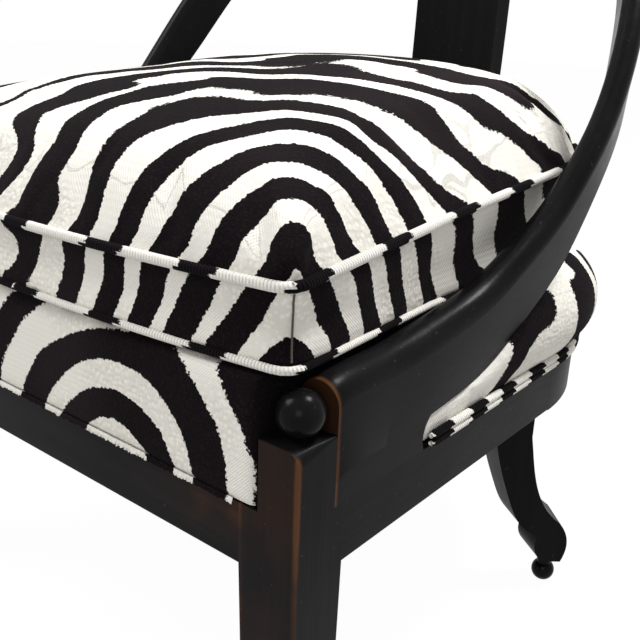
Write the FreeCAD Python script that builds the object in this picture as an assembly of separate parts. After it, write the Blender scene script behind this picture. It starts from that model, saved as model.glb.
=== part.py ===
import FreeCAD, Part
import math
import os

V = FreeCAD.Vector

# Driving dimensions in millimetres.
# y runs from the front face of the front rail to the back, z from the floor.
seat_half_width = 270.0
side_straight = 356.0
corner_radius = 207.0
corner_turn = math.radians(50.0)
rail_bottom = 208.0
rail_height = 45.0
rail_thick = 25.0
edge_ease = 1.5

front_leg_width = 48.0
front_leg_depth = 46.0
front_leg_foot = 42.0
glide_height = 4.0
glide_radius = 11.0
post_width = 32.0
post_depth = 36.0
post_height = 50.0
post_round = 9.0
arm_ball_radius = 15.5
peg_radius = 5.0
peg_length = 22.0

rear_leg_thick = 36.0
rear_leg_turn = math.radians(45.0)
rear_foot_y = 403.0
ball_foot_radius = 11.4
sole_height = 31.0
foot_flat = 0.5

arm_thick_front = 31.0
arm_thick_back = 21.0
flare_side = 0.15
flare_back = 0.07
flare_base = 81.0
slit_height = 27.0
slit_start = 138.0

splat_width = 112.0
splat_thick = 20.0
splat_tenon = 14.0
splat_bow = 9.0
splat_shoulder = 8.0
tenon_shoulder = 4.0

dowel_radius = 4.0
dowel_length = 40.0
screw_radius = 2.2
screw_head_radius = 4.5
screw_head_height = 2.6
screw_length = 55.0
block_reach = 75.0
block_height = 36.0

deck_height = 87.0
deck_corner = 6.0
deck_bulge = 16.0
deck_front_proud = 3.0
plug_inset = 47.0
cover_thick = 2.0
soft_gap = 0.4
cushion_gap = 1.0
welt_radius = 3.0
welt_proud = 1.5

cushion_front = 6.0
cushion_bow = 15.0
cushion_bend = 0.475
cushion_corner = 12.0
crown_round = 0.25
core_inset = 42.0
core_base = 10.0
core_height = 62.0
cushion_rise = 0.075
cushion_welt = 6.0
welt_proud_cushion = 2.5
zip_half_length = 165.0
zip_height = 12.0
zip_proud = 0.6

strap_width = 50.0
strap_thick = 2.0
strap_count = 5
dust_cover_thick = 1.2
hem_margin = 8.0

# Plan of the seat: straight sides, corner arcs and one wide arc at the back.
back_radius = corner_radius + (seat_half_width - corner_radius) / math.cos(corner_turn)
back_centre_y = side_straight - (back_radius - corner_radius) * math.sin(corner_turn)
seat_depth = back_centre_y + back_radius
corner_arc_end = side_straight + corner_radius * corner_turn
half_girth = corner_arc_end + back_radius * (math.pi / 2 - corner_turn)
rail_top = rail_bottom + rail_height
ledge = rail_top + post_height
deck_top = rail_top + deck_height


def plan_point(s):
    """Point of the plan outline at run s from the front, right side, and its outward normal."""
    if s <= side_straight:
        return V(seat_half_width, s, 0), V(1, 0, 0)
    if s <= corner_arc_end:
        turn = (s - side_straight) / corner_radius
        normal = V(math.cos(turn), math.sin(turn), 0)
        return V(seat_half_width - corner_radius, side_straight, 0) + normal * corner_radius, normal
    turn = corner_turn + (s - corner_arc_end) / back_radius
    normal = V(math.cos(turn), math.sin(turn), 0)
    return V(0, back_centre_y, 0) + normal * back_radius, normal


def arc_about(centre, radius, a0, a1):
    """Edge of a circle in the horizontal plane from angle a0 to a1."""
    def at(a):
        return centre + V(math.cos(a), math.sin(a), 0) * radius
    return Part.Arc(at(a0), at((a0 + a1) / 2), at(a1)).toShape()


def line(a, b):
    return Part.LineSegment(a, b).toShape()


def plan_back_edges(offset, z):
    """Edges round the back from the right side to the left side, moved out by offset."""
    x = seat_half_width - corner_radius
    right = arc_about(V(x, side_straight, z), corner_radius + offset, 0, corner_turn)
    back = arc_about(V(0, back_centre_y, z), back_radius + offset, corner_turn, math.pi - corner_turn)
    left = arc_about(V(-x, side_straight, z), corner_radius + offset, math.pi - corner_turn, math.pi)
    return [right, back, left]


def plan_wire(offset, front_y, z):
    """Closed D-shaped outline, moved out by offset, with a straight front at front_y."""
    x = seat_half_width + offset
    edges = [line(V(x, front_y, z), V(x, side_straight, z))]
    edges += plan_back_edges(offset, z)
    edges.append(line(V(-x, side_straight, z), V(-x, front_y, z)))
    edges.append(line(V(-x, front_y, z), V(x, front_y, z)))
    return Part.Wire(edges)


def plan_prism(offset, front_y, z0, z1):
    return Part.Face(plan_wire(offset, front_y, z0)).extrude(V(0, 0, z1 - z0))


def block(x0, x1, y0, y1, z0, z1):
    return Part.makeBox(x1 - x0, y1 - y0, z1 - z0, V(x0, y0, z0))


def rod(start, direction, radius, length):
    return Part.makeCylinder(radius, length, start, direction)


def mirrored(shape):
    return shape.mirror(V(0, 0, 0), V(1, 0, 0))


def fused(shapes):
    solid = shapes[0]
    for other in shapes[1:]:
        solid = solid.fuse(other)
    return solid.removeSplitter()


def eased(shape, radius, wanted):
    """Round the edges for which wanted(centre of the edge's box) holds."""
    edges = [e for e in shape.Edges if wanted(e.BoundBox)]
    return shape.makeFillet(radius, edges)


def smooth(t):
    t = min(1.0, max(0.0, t))
    return t * t * (3 - 2 * t)


# Rails
def make_front_rail():
    x = seat_half_width - front_leg_width
    rail = block(-x, x, 0, rail_thick, rail_bottom, rail_top)
    return eased(rail, edge_ease, lambda b: b.YMax < 0.1 and b.ZMax < rail_bottom + 0.1)


def make_side_rail():
    x = seat_half_width
    rail = block(x - rail_thick, x, front_leg_depth, side_straight, rail_bottom, rail_top)
    return eased(rail, edge_ease, lambda b: b.XMin > x - 0.1 and b.ZMax < rail_bottom + 0.1)


def make_back_rail():
    """Right half of the curved rail, from the side rail to the middle of the back."""
    x = seat_half_width - corner_radius
    corner = V(x, side_straight, rail_bottom)
    middle = V(0, back_centre_y, rail_bottom)
    inner = -rail_thick
    outline = [
        arc_about(corner, corner_radius, 0, corner_turn),
        arc_about(middle, back_radius, corner_turn, math.pi / 2),
        line(middle + V(0, back_radius, 0), middle + V(0, back_radius + inner, 0)),
        arc_about(middle, back_radius + inner, math.pi / 2, corner_turn),
        arc_about(corner, corner_radius + inner, corner_turn, 0),
        line(corner + V(corner_radius + inner, 0, 0), corner + V(corner_radius, 0, 0)),
    ]
    return Part.Face(Part.Wire(outline)).extrude(V(0, 0, rail_height))


# Front leg with its narrow post, ball and glide
def leg_square(width, depth, z):
    x = seat_half_width
    corners = [V(x, 0, z), V(x, depth, z), V(x - width, depth, z), V(x - width, 0, z)]
    return Part.makePolygon(corners + corners[:1])


def make_front_leg():
    foot = leg_square(front_leg_foot, front_leg_foot, glide_height)
    knee = leg_square(front_leg_width, front_leg_depth, rail_bottom)
    taper = Part.makeLoft([foot, knee], True, True)
    x = seat_half_width
    head = block(x - front_leg_width, x, 0, front_leg_depth, rail_bottom, rail_top)
    post = block(x - post_width, x, 0, post_depth, rail_top, ledge)
    outer = [e for e in post.Edges if e.BoundBox.XMin > x - 0.1 and e.BoundBox.ZMin > ledge - 0.1]
    post = post.makeFillet(post_round, edge_ease, outer)
    return fused([taper, head, post])


def ball_axis():
    return V(seat_half_width - post_width / 2, post_depth / 2 + 1.5, ledge)


def make_arm_ball():
    base = ball_axis()
    ball = Part.makeSphere(arm_ball_radius, base + V(0, 0, arm_ball_radius))
    seat = block(base.x - 20, base.x + 20, base.y - 20, base.y + 20, ledge - 5, ledge)
    peg = rod(base - V(0, 0, peg_length), V(0, 0, 1), peg_radius, peg_length + arm_ball_radius)
    return fused([ball.cut(seat), peg])


def make_glide():
    x = seat_half_width - front_leg_foot / 2
    disc = rod(V(x, front_leg_foot / 2, 0), V(0, 0, 1), glide_radius, glide_height)
    return eased(disc, edge_ease, lambda b: b.ZMax < 0.1)


# Rear leg: a sabre profile of along-the-sweep runs and heights, turned to the diagonal
def rear_leg_point(run, z):
    e = V(math.sin(rear_leg_turn), math.cos(rear_leg_turn), 0)
    return V(seat_half_width, rear_foot_y, z) + e * run


def rear_leg_side():
    return V(math.cos(rear_leg_turn), -math.sin(rear_leg_turn), 0)


leg_front_run = -78.0
leg_back_run = -38.0
foot_run = -1.0
heel_run = 11.0
toe_run = -21.0
front_splay = 5.0


def spline(points):
    curve = Part.BSplineCurve()
    curve.interpolate(points)
    return curve.toShape()


def leg_profile(splay):
    """Side outline of the sabre leg with its scroll foot, front edge moved out by splay."""
    at = rear_leg_point
    front_run = leg_front_run - splay
    toe = toe_run - splay
    back = [(leg_back_run, rail_bottom - 36), (leg_back_run + 7, 135), (-17, 97), (2, 76)]
    heel = [(2, 76), (heel_run, 60), (heel_run - 3, sole_height)]
    tip = [(toe + 11, sole_height + 1), (toe + 3, 40), (toe, 51), (toe + 3, 62)]
    front = [(toe + 3, 62), (-41 - splay, 79), (-53 - splay, 104), (-67 - splay, 145), (front_run, rail_bottom)]
    return Part.Wire([
        line(at(front_run, rail_top), at(leg_back_run, rail_top)),
        line(at(leg_back_run, rail_top), at(*back[0])),
        spline([at(*p) for p in back]),
        spline([at(*p) for p in heel]),
        line(at(*heel[-1]), at(*tip[0])),
        spline([at(*p) for p in tip]),
        spline([at(*p) for p in front]),
        line(at(*front[-1]), at(front_run, rail_top)),
    ])


def make_rear_leg():
    half = rear_leg_side() * (rear_leg_thick / 2)
    outer = leg_profile(0.0)
    outer.translate(half)
    inner = leg_profile(front_splay)
    inner.translate(half * -1)
    leg = Part.makeLoft([outer, inner], True, True)
    return leg.cut(make_side_rail()).cut(make_back_rail())


def make_ball_foot():
    base = rear_leg_point(foot_run, 0)
    ball = Part.makeSphere(ball_foot_radius, base + V(0, 0, ball_foot_radius - foot_flat))
    below = block(base.x - 20, base.x + 20, base.y - 20, base.y + 20, -10, 0)
    neck = rod(base + V(0, 0, ball_foot_radius), V(0, 0, 1), peg_radius + 2, sole_height - ball_foot_radius)
    peg = rod(base + V(0, 0, sole_height), V(0, 0, 1), peg_radius, peg_length)
    return fused([ball.cut(below), neck, peg])


# Arm and crest: a flat board bent to the seat's plan, leaning out as it rises
def flare(s):
    rise = smooth((s - 54.0) / 243.0)
    fall = smooth((s - 315.0) / 126.0)
    return flare_side * rise - (flare_side - flare_back) * fall


def board_point(s, rise):
    """Point on the outer face of the arm at run s and height rise above the rail's bottom."""
    point, normal = plan_point(s)
    lean = flare(s) * max(0.0, rise - flare_base)
    return point + normal * lean + V(0, 0, rail_bottom + rise)


def board_section(low, top, thick, grow=0.0, outward=0.0, side=1):
    """Closed section of the board from its lower edge to its full-round upper edge."""
    outer_low = board_point(*low)
    outer_top = board_point(*top)
    up = (outer_top - outer_low).normalize()
    normal = plan_point((low[0] + top[0]) / 2)[1]
    out = (normal - up * normal.dot(up)).normalize()
    radius = thick / 2 + grow + outward / 2
    a = outer_low - up * grow + out * (grow + outward)
    b = outer_top - up * (thick / 2) + out * (grow + outward)
    c = b - out * (2 * radius)
    d = a - out * (2 * radius)
    crown = b - out * radius + up * radius
    slope = radius * math.sqrt(0.5)
    middle = b - out * radius
    shoulder = middle + (out + up) * slope
    inner_shoulder = middle + (up - out) * slope
    points = [a, b, shoulder, crown, inner_shoulder, c, d]
    a, b, shoulder, crown, inner_shoulder, c, d = [V(p.x * side, p.y, p.z) for p in points]
    first = Part.Arc(b, shoulder, crown).toShape()
    second = Part.Arc(crown, inner_shoulder, c).toShape()
    return Part.Wire([line(a, b), first, second, line(c, d), line(d, a)])


# Stations of the arm as (run, rise) of its lower and upper edges, front to back
arm_stations = [
    ((post_depth, 63), (post_depth, 127)),
    ((90, 67), (90, 131)),
    ((148, 71), (140, 136)),
    ((194, 76), (177, 142)),
    ((236, 88), (211, 151)),
    ((281, 117), (247, 170)),
    ((317, 147), (285, 195)),
    ((347, 192), (316, 226)),
    ((378, 236), (343, 255)),
    ((423, 291), (388, 313)),
    ((464, 348), (427, 369)),
    ((518, 410), (486, 439)),
]
# Stations of the crest, with runs counted back from its middle
crest_stations = [
    ((half_girth - 174, 457), (half_girth - 202, 514)),
    ((half_girth - 102, 489), (half_girth - 116, 555)),
    ((half_girth, 505), (half_girth, 572)),
]


def arm_thick(index):
    share = smooth((index - 1) / 8)
    return arm_thick_front + (arm_thick_back - arm_thick_front) * share


def board_sections(grow=0.0, outward=0.0):
    """Sections of the right half of the board and two past its middle."""
    sections = []
    for index, (low, top) in enumerate(arm_stations):
        sections.append(board_section(low, top, arm_thick(index), grow, outward))
    for low, top in crest_stations:
        sections.append(board_section(low, top, arm_thick_back, grow, outward))
    for low, top in crest_stations[-2::-1]:
        sections.append(board_section(low, top, arm_thick_back, grow, outward, -1))
    return sections


def joint_frame():
    """Middle of the arm's last section and the direction of the board there."""
    low, top = arm_stations[-1]
    outer_low = board_point(*low)
    outer_top = board_point(*top)
    up = (outer_top - outer_low).normalize()
    normal = plan_point((low[0] + top[0]) / 2)[1]
    out = (normal - up * normal.dot(up)).normalize()
    along = out.cross(up).normalize()
    if along.z < 0:
        along = along * -1
    centre = (outer_low + outer_top) * 0.5 - out * (arm_thick_back / 2)
    return centre, along, up


def half_board():
    board = Part.makeLoft(board_sections(), True, False)
    return board.common(block(0, 2 * seat_half_width, -10, 2 * seat_depth, 0, 4 * seat_depth))


def past_joint():
    """Half space behind the joint of arm and crest, as a large turned box."""
    centre, along, up = joint_frame()
    reach = seat_depth
    cut = Part.makeBox(2 * reach, 2 * reach, reach, V(-reach, -reach, 0))
    cut.Placement = FreeCAD.Placement(centre, FreeCAD.Rotation(V(0, 0, 1), along))
    return cut


def make_arm_web(gap=0.0):
    """Front of the arm below its sweep, down to the rail, with the round end of the slit."""
    x = seat_half_width + gap
    back = slit_start + gap
    tip = back + 9
    rise = rail_top + slit_height
    top = rail_top + slit_height + 15
    edges = [
        line(V(x, post_depth, rail_top), V(x, back, rail_top)),
        Part.Arc(V(x, back, rail_top), V(x, back - 1, rail_top + slit_height / 2), V(x, tip, rise)).toShape(),
        line(V(x, tip, rise), V(x, tip, top)),
        line(V(x, tip, top), V(x, post_depth, top)),
        line(V(x, post_depth, top), V(x, post_depth, rail_top)),
    ]
    return Part.Face(Part.Wire(edges)).extrude(V(-arm_thick_front - 2 * gap, 0, 0))


def make_arm_and_crest():
    """The board parted at the joint into the right arm and the whole crest."""
    board = half_board()
    beyond = past_joint()
    half = board.common(beyond)
    arm = fused([board.cut(beyond), make_arm_web()])
    return arm, fused([half, mirrored(half)])


def splat_wire(z, thick, width):
    """Section of the splat at height z: a piece of the back's curve, moved back as it rises."""
    crest_rise = crest_stations[-1][0][1]
    share = (z - rail_top) / (rail_bottom + crest_rise - rail_top)
    lean = share * flare_back * (crest_rise - flare_base) + 4 * splat_bow * share * (1 - share)
    radius = back_radius - (rail_thick + share * (arm_thick_back - rail_thick)) / 2
    turn = math.asin(width / 2 / radius)
    centre = V(0, back_centre_y + lean, z)
    outer = arc_about(centre, radius + thick / 2, math.pi / 2 - turn, math.pi / 2 + turn)
    inner = arc_about(centre, radius - thick / 2, math.pi / 2 + turn, math.pi / 2 - turn)
    left = line(outer.Vertexes[1].Point, inner.Vertexes[0].Point)
    right = line(inner.Vertexes[1].Point, outer.Vertexes[0].Point)
    return Part.Wire([outer, left, inner, right])


def splat_part(levels, thick, width):
    return Part.makeLoft([splat_wire(z, thick, width) for z in levels], True, False)


def splat_body(gap=0.0):
    """Board of the splat from the back rail up into the crest's lower edge."""
    crest_low = rail_bottom + crest_stations[-1][0][1]
    levels = [rail_top + (crest_low - rail_top) * share for share in (0.0, 0.33, 0.67, 1.01)]
    return splat_part(levels, splat_thick + 2 * gap, splat_width + 2 * gap)


def splat_tenons():
    crest_low = rail_bottom + crest_stations[-1][0][1]
    width = splat_width - 2 * splat_shoulder
    thick = splat_thick - 2 * tenon_shoulder
    low = splat_part([rail_top - splat_tenon, rail_top + 1], thick, width)
    top = splat_part([crest_low - splat_tenon, crest_low + splat_tenon], thick, width)
    return [low, top]


# Soft seat: a stuffed deck on the rails and a loose cushion on the deck
def seat_outline(back, side, flare, bend_y, front_y, bow, corner, z):
    """D-shaped outline. The sides stand out by side at bend_y, by side + flare in front
    and by back from the corner arcs on; the front bows forward between round corners."""
    x = seat_half_width + side
    wide = x + flare
    start = front_y + corner
    right = [
        line(V(wide, start, z), V(x, bend_y, z)),
        line(V(x, bend_y, z), V(seat_half_width + back, side_straight, z)),
    ]
    left = [
        line(V(-seat_half_width - back, side_straight, z), V(-x, bend_y, z)),
        line(V(-x, bend_y, z), V(-wide, start, z)),
    ]
    ends = V(corner - wide, front_y, z), V(wide - corner, front_y, z)
    edge = Part.Arc(ends[0], V(0, front_y - bow, z), ends[1]).toShape() if bow else line(*ends)
    front = [
        arc_about(V(corner - wide, start, z), corner, math.pi, 1.5 * math.pi),
        edge,
        arc_about(V(wide - corner, start, z), corner, 1.5 * math.pi, 2 * math.pi),
    ]
    return Part.Wire(right + plan_back_edges(back, z) + left + front)


# Side form of the deck as (share of its height, offset from the rail's face at the back)
deck_form = [
    (0.0, -4.0),
    (0.13, 0.0),
    (0.32, 0.75 * deck_bulge),
    (0.54, deck_bulge),
    (0.76, 0.6 * deck_bulge),
    (0.93, -0.35 * deck_bulge),
    (1.0, -1.7 * deck_bulge),
]


def deck_volume(inset):
    wires = []
    for share, offset in deck_form:
        back = offset - inset
        side = min(offset, -2.0) - inset
        front_y = inset - min(deck_front_proud, 0.25 * offset + deck_front_proud)
        z = rail_top + share * (deck_height - inset)
        wires.append(seat_outline(back, side, 0.0, slit_start, front_y, 0.0, deck_corner, z))
    return Part.makeLoft(wires, True, False)


def deck_limits(gap):
    """What the deck is fitted round: posts with the arm fronts, the arm sweeps and the splat."""
    x = seat_half_width - post_width - gap
    post = block(x, x + 4 * post_width, -2 * post_width, slit_start - 2, rail_top - 1, rail_top + 3 * deck_height)
    sweep = Part.makeLoft(board_sections(gap, deck_bulge + 10)[:10], True, False)
    web = make_arm_web(gap)
    side = [post, sweep, web]
    return side + [mirrored(shape) for shape in side] + [splat_body(gap)]


def fitted_deck(inset):
    deck = deck_volume(inset)
    for limit in deck_limits(soft_gap + inset):
        deck = deck.cut(limit)
    return deck


def make_deck_plug():
    """Lower part of the stuffing, down to the webbing between legs and blocks."""
    front_y = rail_thick + block_reach + soft_gap
    return plan_prism(-rail_thick - plug_inset, front_y, rail_bottom, rail_top)


def welt_path(offset, z):
    y = slit_start + welt_radius + 4
    x = seat_half_width + offset
    edges = [line(V(x, y, z), V(x, side_straight, z))]
    edges += plan_back_edges(offset, z)
    edges.append(line(V(-x, side_straight, z), V(-x, y, z)))
    return Part.Wire(edges)


def make_double_welt():
    ribs = []
    for number in range(2):
        z = rail_top + welt_radius * (1 + 2 * number)
        path = welt_path(welt_proud, z)
        start = path.Edges[0].Vertexes[0].Point
        ring = Part.Wire(Part.makeCircle(welt_radius, start, V(0, 1, 0)))
        ribs.append(path.makePipeShell([ring], True, True))
    return ribs


# Form of the cushion: height above its base, then the offsets of its sides, their flare
# in front and its back, and the rise from front to back of that level
cushion_form = [
    (0.0, -39.0, 10.0, -36.0, 0.0),
    (8.0, -29.0, 10.5, -27.0, 0.0),
    (29.0, -31.0, 10.0, -29.0, 0.0),
    (57.0, -20.0, 6.0, -21.0, cushion_rise),
    (75.0, -21.0, 6.0, -17.0, cushion_rise),
    (91.0, -35.0, 4.0, -27.0, cushion_rise),
    (108.0, -76.0, 0.0, -66.0, cushion_rise),
    (121.0, -136.0, 0.0, -126.0, cushion_rise),
    (128.0, -200.0, 0.0, -190.0, cushion_rise),
]
welt_level = 3


def cushion_bend_at(start):
    """Where the flare of a side ends that starts at the end of the front corner."""
    return start + cushion_bend * (side_straight - start)


def cushion_level(level, grow):
    """Outline of one level of the cushion, moved out by grow and tilted up to the back."""
    height, side, flare, back, rise = cushion_form[level]
    z = deck_top + cushion_gap + height
    wide = side + flare
    front_y = cushion_front - grow + cushion_form[welt_level][1] + cushion_form[welt_level][2] - wide
    draw = max(0.0, cushion_form[welt_level][1] - side)
    corner = cushion_corner + max(0.0, grow) + crown_round * draw
    bend_y = cushion_bend_at(front_y + corner)
    wire = seat_outline(back + grow, side + grow, flare, bend_y, front_y, cushion_bow, corner, z)
    wire.rotate(V(0, 0, z), V(1, 0, 0), math.degrees(math.atan(rise)))
    return wire


def cushion_volume():
    return Part.makeLoft([cushion_level(level, 0.0) for level in range(len(cushion_form))], True, False)


def make_cushion_core():
    """Foam slab of the cushion; wadding fills the crown and the sides round it."""
    z = deck_top + cushion_gap + core_base
    side = cushion_form[welt_level][1] - core_inset
    front_y = cushion_front + core_inset
    bend_y = cushion_bend_at(front_y + cushion_corner)
    wire = seat_outline(side, side, 0.0, bend_y, front_y, cushion_bow, cushion_corner, z)
    return Part.Face(wire).extrude(V(0, 0, core_height))


def cushion_band(level, proud, deep, height):
    """Band of a height that follows one level of the cushion, from proud of it to deep in it."""
    rise = math.atan(cushion_form[level][4])
    up = V(0, -math.sin(rise), math.cos(rise))
    bands = []
    for grow in (proud, -deep):
        wire = cushion_level(level, grow)
        wire.translate(up * (-height / 2))
        bands.append(Part.Face(wire).extrude(up * height))
    return bands[0].cut(bands[1])


def make_cushion_welt(level):
    return cushion_band(level, welt_proud_cushion, cushion_welt - welt_proud_cushion, cushion_welt)


def make_zipper():
    band = cushion_band(2, zip_proud, cover_thick - zip_proud, zip_height)
    room = 2 * seat_depth
    return band.common(block(-zip_half_length, zip_half_length, back_centre_y, room, 0, room))


# Hidden pieces below the deck
def make_corner_block():
    x = seat_half_width
    z = rail_bottom + (rail_height - block_height) / 2
    corners = [
        V(x - rail_thick - block_reach, rail_thick, z),
        V(x - front_leg_width, rail_thick, z),
        V(x - front_leg_width, front_leg_depth, z),
        V(x - rail_thick, front_leg_depth, z),
        V(x - rail_thick, rail_thick + block_reach, z),
    ]
    return Part.Face(Part.makePolygon(corners + corners[:1])).extrude(V(0, 0, block_height))


def make_screw(head, direction, length):
    """Screw with a cheese head that stands on the surface at the point head."""
    shank = rod(head, direction, screw_radius, length)
    cap = rod(head, direction * -1, screw_head_radius, screw_head_height)
    return fused([shank, cap])


def block_screw():
    x = seat_half_width - rail_thick - block_reach / 2
    head = V(x, rail_thick + block_reach / 2, rail_bottom + rail_height / 2)
    return make_screw(head, V(1, -1, 0).normalize(), screw_length)


def leg_screws():
    direction = V(math.sin(rear_leg_turn), math.cos(rear_leg_turn), 0)
    screws = []
    for share in (0.3, 0.7):
        z = rail_bottom + share * rail_height
        run = leg_front_run - front_splay / 2
        screws.append(make_screw(rear_leg_point(run, z), direction, screw_length))
    return screws


def dowels_at(points, direction):
    half = direction * (dowel_length / 2)
    return [rod(point - half, direction, dowel_radius, dowel_length) for point in points]


def rail_levels():
    return [rail_bottom + rail_height * share for share in (0.27, 0.73)]


def leg_dowels():
    x = seat_half_width
    front = [V(x - front_leg_width, rail_thick / 2, z) for z in rail_levels()]
    side = [V(x - rail_thick / 2, front_leg_depth, z) for z in rail_levels()]
    return dowels_at(front, V(1, 0, 0)) + dowels_at(side, V(0, 1, 0))


def side_dowels():
    points = [V(seat_half_width - rail_thick / 2, side_straight, z) for z in rail_levels()]
    return dowels_at(points, V(0, 1, 0))


def middle_dowels():
    low = rail_bottom + 1.5 * dowel_radius
    high = rail_top - splat_tenon - 1.5 * dowel_radius
    points = [V(0, seat_depth - rail_thick / 2, z) for z in (low, high)]
    return dowels_at(points, V(1, 0, 0))


def arm_dowels():
    x = seat_half_width - rail_thick / 2
    web = [V(x, post_depth + (slit_start - post_depth) * share, rail_top) for share in (0.35, 0.75)]
    end = [V(seat_half_width - post_width / 2, post_depth, rail_top + 1.0 * dowel_length / 2)]
    centre, along, up = joint_frame()
    crest = [centre - up * 9, centre + up * 9]
    return dowels_at(web, V(0, 0, 1)) + dowels_at(end, V(0, 1, 0)) + dowels_at(crest, along)


def make_straps(lengthwise):
    """Straps under the rails, one way or the other, trimmed to the hem line of the seat."""
    top = rail_bottom if lengthwise else rail_bottom - strap_thick
    area = plan_prism(-hem_margin, hem_margin, top - strap_thick, top)
    half = strap_width / 2
    leg_front = rear_leg_point(leg_front_run - front_splay, 0).y
    straps = []
    if lengthwise:
        reach = seat_half_width - rail_thick - front_leg_width - half
        middles = [reach * (2 * i / (strap_count - 1) - 1) for i in range(strap_count)]
        for x in middles:
            straps.append(block(x - half, x + half, 0, seat_depth, top - strap_thick, top))
    else:
        span = leg_front - rear_leg_thick - front_leg_depth
        middles = [front_leg_depth + span * share for share in (0.18, 0.51, 0.84)]
        behind = leg_front + 2 * rear_leg_thick
        room = seat_depth - rail_thick - behind
        middles += [behind + room * share for share in (0.3, 0.75)]
        for y in middles:
            straps.append(block(-seat_half_width, seat_half_width, y - half, y + half, top - strap_thick, top))
    return [strap.common(area) for strap in straps]


def make_dust_cover():
    top = rail_bottom - 2 * strap_thick
    return plan_prism(-hem_margin, hem_margin, top - dust_cover_thick, top)


nodes = {}
nodes["front_rail"] = make_front_rail()
nodes["side_rail_right"] = make_side_rail()
nodes["back_rail_right"] = make_back_rail()
nodes["front_leg_right"] = make_front_leg()
nodes["arm_ball_right"] = make_arm_ball()
nodes["front_glide_right"] = make_glide()
nodes["rear_leg_right"] = make_rear_leg()
nodes["rear_ball_foot_right"] = make_ball_foot()
nodes["arm_right"], nodes["crest_rail"] = make_arm_and_crest()
tenons = splat_tenons()
nodes["splat"] = fused([splat_body().cut(nodes["crest_rail"])] + tenons)
nodes["corner_block_right"] = make_corner_block()

# Bores for pegs, dowels and screws, then the left side as the mirror of the right
groups = {
    "leg_dowels_right": (leg_dowels(), ["front_rail", "side_rail_right", "front_leg_right"]),
    "rail_dowels_right": (side_dowels(), ["side_rail_right", "back_rail_right"]),
    "arm_dowels_right": (arm_dowels(), ["arm_right", "crest_rail", "side_rail_right", "front_leg_right"]),
    "leg_screws_right": (leg_screws(), ["rear_leg_right", "back_rail_right", "side_rail_right"]),
    "block_screw_right": ([block_screw()], ["corner_block_right", "front_leg_right"]),
}
for name, (pieces, hosts) in groups.items():
    nodes[name] = Part.Compound(pieces)
    for host in hosts:
        for piece in pieces:
            nodes[host] = nodes[host].cut(piece)
            if host in ("front_rail", "crest_rail"):
                nodes[host] = nodes[host].cut(mirrored(piece))
nodes["front_leg_right"] = nodes["front_leg_right"].cut(nodes["arm_ball_right"])
nodes["rear_leg_right"] = nodes["rear_leg_right"].cut(nodes["rear_ball_foot_right"])
nodes["back_rail_right"] = nodes["back_rail_right"].cut(tenons[0])
nodes["crest_rail"] = nodes["crest_rail"].cut(tenons[1])
nodes["middle_dowels"] = Part.Compound(middle_dowels())
for piece in middle_dowels():
    nodes["back_rail_right"] = nodes["back_rail_right"].cut(piece)
for name in list(nodes):
    if name.endswith("_right"):
        nodes[name.replace("_right", "_left")] = mirrored(nodes[name])

stuffing = fitted_deck(cover_thick)
cover = fitted_deck(0.0).cut(stuffing)
ribs = [rib.cut(nodes["splat"]) for rib in make_double_welt()]
for rib in ribs:
    cover = cover.cut(rib)
    stuffing = stuffing.cut(rib)
nodes["deck_cover"] = cover
nodes["deck_stuffing"] = fused([stuffing, make_deck_plug()])
nodes["double_welt"] = Part.Compound(ribs)

nodes["cushion_top_welt"] = make_cushion_welt(welt_level)
nodes["cushion_bottom_welt"] = make_cushion_welt(1)
nodes["cushion_zipper"] = make_zipper()
nodes["cushion_core"] = make_cushion_core()
shell = cushion_volume().cut(nodes["cushion_core"])
for name in ("cushion_top_welt", "cushion_bottom_welt", "cushion_zipper"):
    shell = shell.cut(nodes[name])
nodes["cushion_cover"] = shell

nodes["webbing_long"] = Part.Compound(make_straps(True))
nodes["webbing_cross"] = Part.Compound(make_straps(False))
dust = make_dust_cover()
for name in ("front_leg_right", "front_leg_left", "rear_leg_right", "rear_leg_left"):
    dust = dust.cut(nodes[name])
nodes["dust_cover"] = dust

# The part stands on the floor with its box centred on the origin
whole = Part.Compound(list(nodes.values())).optimalBoundingBox(False, False)
home = V(-(whole.XMin + whole.XMax) / 2, -(whole.YMin + whole.YMax) / 2, -whole.ZMin)
os.makedirs("parts", exist_ok=True)
for name, shape in nodes.items():
    shape.translate(home)
    shape.exportStep("parts/" + name + ".step")
    print(name, shape.isValid(), len(shape.Solids), round(shape.Volume))
print("home", home.y, "size", whole.XLength, whole.YLength, whole.ZLength)
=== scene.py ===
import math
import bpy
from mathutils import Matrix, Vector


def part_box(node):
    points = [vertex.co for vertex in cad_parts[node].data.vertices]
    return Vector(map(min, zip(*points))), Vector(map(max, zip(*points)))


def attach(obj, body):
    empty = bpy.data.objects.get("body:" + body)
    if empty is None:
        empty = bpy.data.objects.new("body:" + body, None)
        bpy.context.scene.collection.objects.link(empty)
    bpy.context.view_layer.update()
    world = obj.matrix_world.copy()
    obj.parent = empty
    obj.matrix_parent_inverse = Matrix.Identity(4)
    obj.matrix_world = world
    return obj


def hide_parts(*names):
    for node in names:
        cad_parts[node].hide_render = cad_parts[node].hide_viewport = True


bl_info = {
    "name": "Spoon-back chair",
    "version": (1, 0, 0),
    "blender": (4, 5, 0),
    "location": "View3D > Sidebar > Chair",
    "description": "Dresses a spoon-back open-arm chair with lacquer, zebra cloth and a loose cushion",
    "category": "Object",
}

import bmesh
import bpy
import numpy as np
from mathutils import Matrix, Vector, noise

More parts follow.
